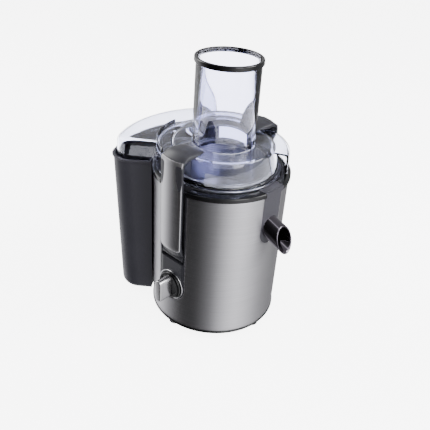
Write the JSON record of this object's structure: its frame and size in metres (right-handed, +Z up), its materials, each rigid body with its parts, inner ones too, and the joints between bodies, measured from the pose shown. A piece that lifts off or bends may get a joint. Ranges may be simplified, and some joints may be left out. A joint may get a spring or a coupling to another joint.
{
  "type": "centrifugal juicer",
  "caption": "Round brushed-metal countertop juice extractor with a wide clear feed tube, clamped clear lid, side spout and wrap-round pulp container.",
  "frame": {"origin": "on the drive axis, in the plane of the surface that the four feet stand on", "axes": "+Z up along the drive axis, +X along the juice spout, -X to the pulp container, -Y to the clamp with the speed knob below it"},
  "size_m": [0.2695, 0.2068, 0.3676],
  "materials": {
    "drum_wrap": "brushed round the drum",
    "drum_housing": "moulded",
    "top_collar": "gloss",
    "base_trim": "satin",
    "base_plate": "moulded",
    "foot_front": "matt",
    "foot_far": "matt",
    "foot_back": "matt",
    "foot_near": "matt",
    "base_screws": "zinc plated",
    "cord_gland": "matt",
    "channel_near": "satin",
    "channel_far": "satin",
    "hinge_pin_near": "ground",
    "hinge_pin_far": "ground",
    "clamp_arm_near": "fine grain",
    "clamp_arm_far": "fine grain",
    "clamp_face_near": "brushed",
    "clamp_face_far": "brushed",
    "clamp_pad_near": "matt",
    "clamp_pad_far": "matt",
    "juice_collector": "satin",
    "spout": "gloss",
    "lid": "clear tinted polymer",
    "feed_tube": "clear tinted polymer",
    "tube_ring": "gloss",
    "pulp_container": "satin",
    "dial_bezel": "polished",
    "knob_dial": "gloss",
    "knob_grip": "satin",
    "knob_spindle": "ground",
    "speed_switch": "moulded",
    "interlock_plunger": "moulded",
    "interlock_switch": "moulded",
    "motor_bracket_lower": "cast",
    "motor_bracket_upper": "cast",
    "fan_shroud": "moulded",
    "stator_core": "laminated steel",
    "field_coils": "enamelled copper wire",
    "bearing_lower": "ground steel",
    "bearing_upper": "ground steel",
    "brush_holders": "stamped",
    "carbon_brushes": "graphite",
    "brush_springs": "wire",
    "motor_mounts": "matt",
    "motor_bolts": "zinc plated",
    "shaft_seal": "matt",
    "control_board": "glass-fibre laminate",
    "suppression_capacitor": "moulded case",
    "motor_shaft": "ground",
    "rotor_core": "laminated steel",
    "rotor_windings": "enamelled copper wire",
    "commutator": "turned copper",
    "cooling_fan": "moulded",
    "drive_coupling": "moulded",
    "sieve_basket": "deep drawn",
    "sieve_mesh": "etched mesh",
    "grating_disc": "stamped teeth"
  },
  "bodies": {
    "housing": {"drum_wrap": "drum_wrap", "drum_housing": "drum_housing", "top_collar": "top_collar", "base_trim": "base_trim", "base_plate": "base_plate", "foot_front": "foot_front", "foot_far": "foot_far", "foot_back": "foot_back", "foot_near": "foot_near", "base_screws": "base_screws", "cord_gland": "cord_gland", "channel_near": "channel_near", "channel_far": "channel_far", "hinge_pin_near": "hinge_pin_near", "hinge_pin_far": "hinge_pin_far", "juice_collector": "juice_collector", "spout": "spout", "lid": "lid", "feed_tube": "feed_tube", "tube_ring": "tube_ring", "dial_bezel": "dial_bezel", "speed_switch": "speed_switch", "interlock_switch": "interlock_switch", "motor_bracket_lower": "motor_bracket_lower", "motor_bracket_upper": "motor_bracket_upper", "fan_shroud": "fan_shroud", "stator_core": "stator_core", "field_coils": "field_coils", "bearing_lower": "bearing_lower", "bearing_upper": "bearing_upper", "brush_holders": "brush_holders", "carbon_brushes": "carbon_brushes", "brush_springs": "brush_springs", "motor_mounts": "motor_mounts", "motor_bolts": "motor_bolts", "shaft_seal": "shaft_seal", "control_board": "control_board", "suppression_capacitor": "suppression_capacitor"},
    "rotor": {"motor_shaft": "motor_shaft", "rotor_core": "rotor_core", "rotor_windings": "rotor_windings", "commutator": "commutator", "cooling_fan": "cooling_fan", "drive_coupling": "drive_coupling", "sieve_basket": "sieve_basket", "sieve_mesh": "sieve_mesh", "grating_disc": "grating_disc"},
    "near_clamp": {"clamp_arm_near": "clamp_arm_near", "clamp_face_near": "clamp_face_near", "clamp_pad_near": "clamp_pad_near"},
    "far_clamp": {"clamp_arm_far": "clamp_arm_far", "clamp_face_far": "clamp_face_far", "clamp_pad_far": "clamp_pad_far"},
    "knob": {"knob_dial": "knob_dial", "knob_grip": "knob_grip", "knob_spindle": "knob_spindle"},
    "plunger": {"interlock_plunger": "interlock_plunger"},
    "container": {"pulp_container": "pulp_container"}
  },
  "joints": [
    {"name": "drive_spin", "type": "hinge", "parent": "housing", "child": "rotor", "pos_m": [0, 0, 0.1], "axis": [0, 0, 1], "continuous": true},
    {"name": "near_clamp_swing", "type": "hinge", "parent": "housing", "child": "near_clamp", "pos_m": [0, -0.082, 0.121], "axis": [1, 0, 0], "range_deg": [0, 40]},
    {"name": "far_clamp_swing", "type": "hinge", "parent": "housing", "child": "far_clamp", "pos_m": [0, 0.082, 0.121], "axis": [-1, 0, 0], "range_deg": [0, 40]},
    {"name": "speed_turn", "type": "hinge", "parent": "housing", "child": "knob", "pos_m": [0, -0.09, 0.072], "axis": [0, -1, 0], "range_deg": [0, 90]},
    {"name": "interlock_slide", "type": "slide", "parent": "housing", "child": "plunger", "axis": [0, -1, 0], "range_m": [0, 0.003]},
    {"name": "container_tilt", "type": "hinge", "parent": "housing", "child": "container", "pos_m": [-0.0879, 0, 0.2263], "axis": [0, 1, 0], "range_deg": [0, 8]}
  ],
  "couplings": [
    {"joint": "interlock_slide", "follows": "near_clamp_swing", "m_per_rad": 0.0042}
  ]
}
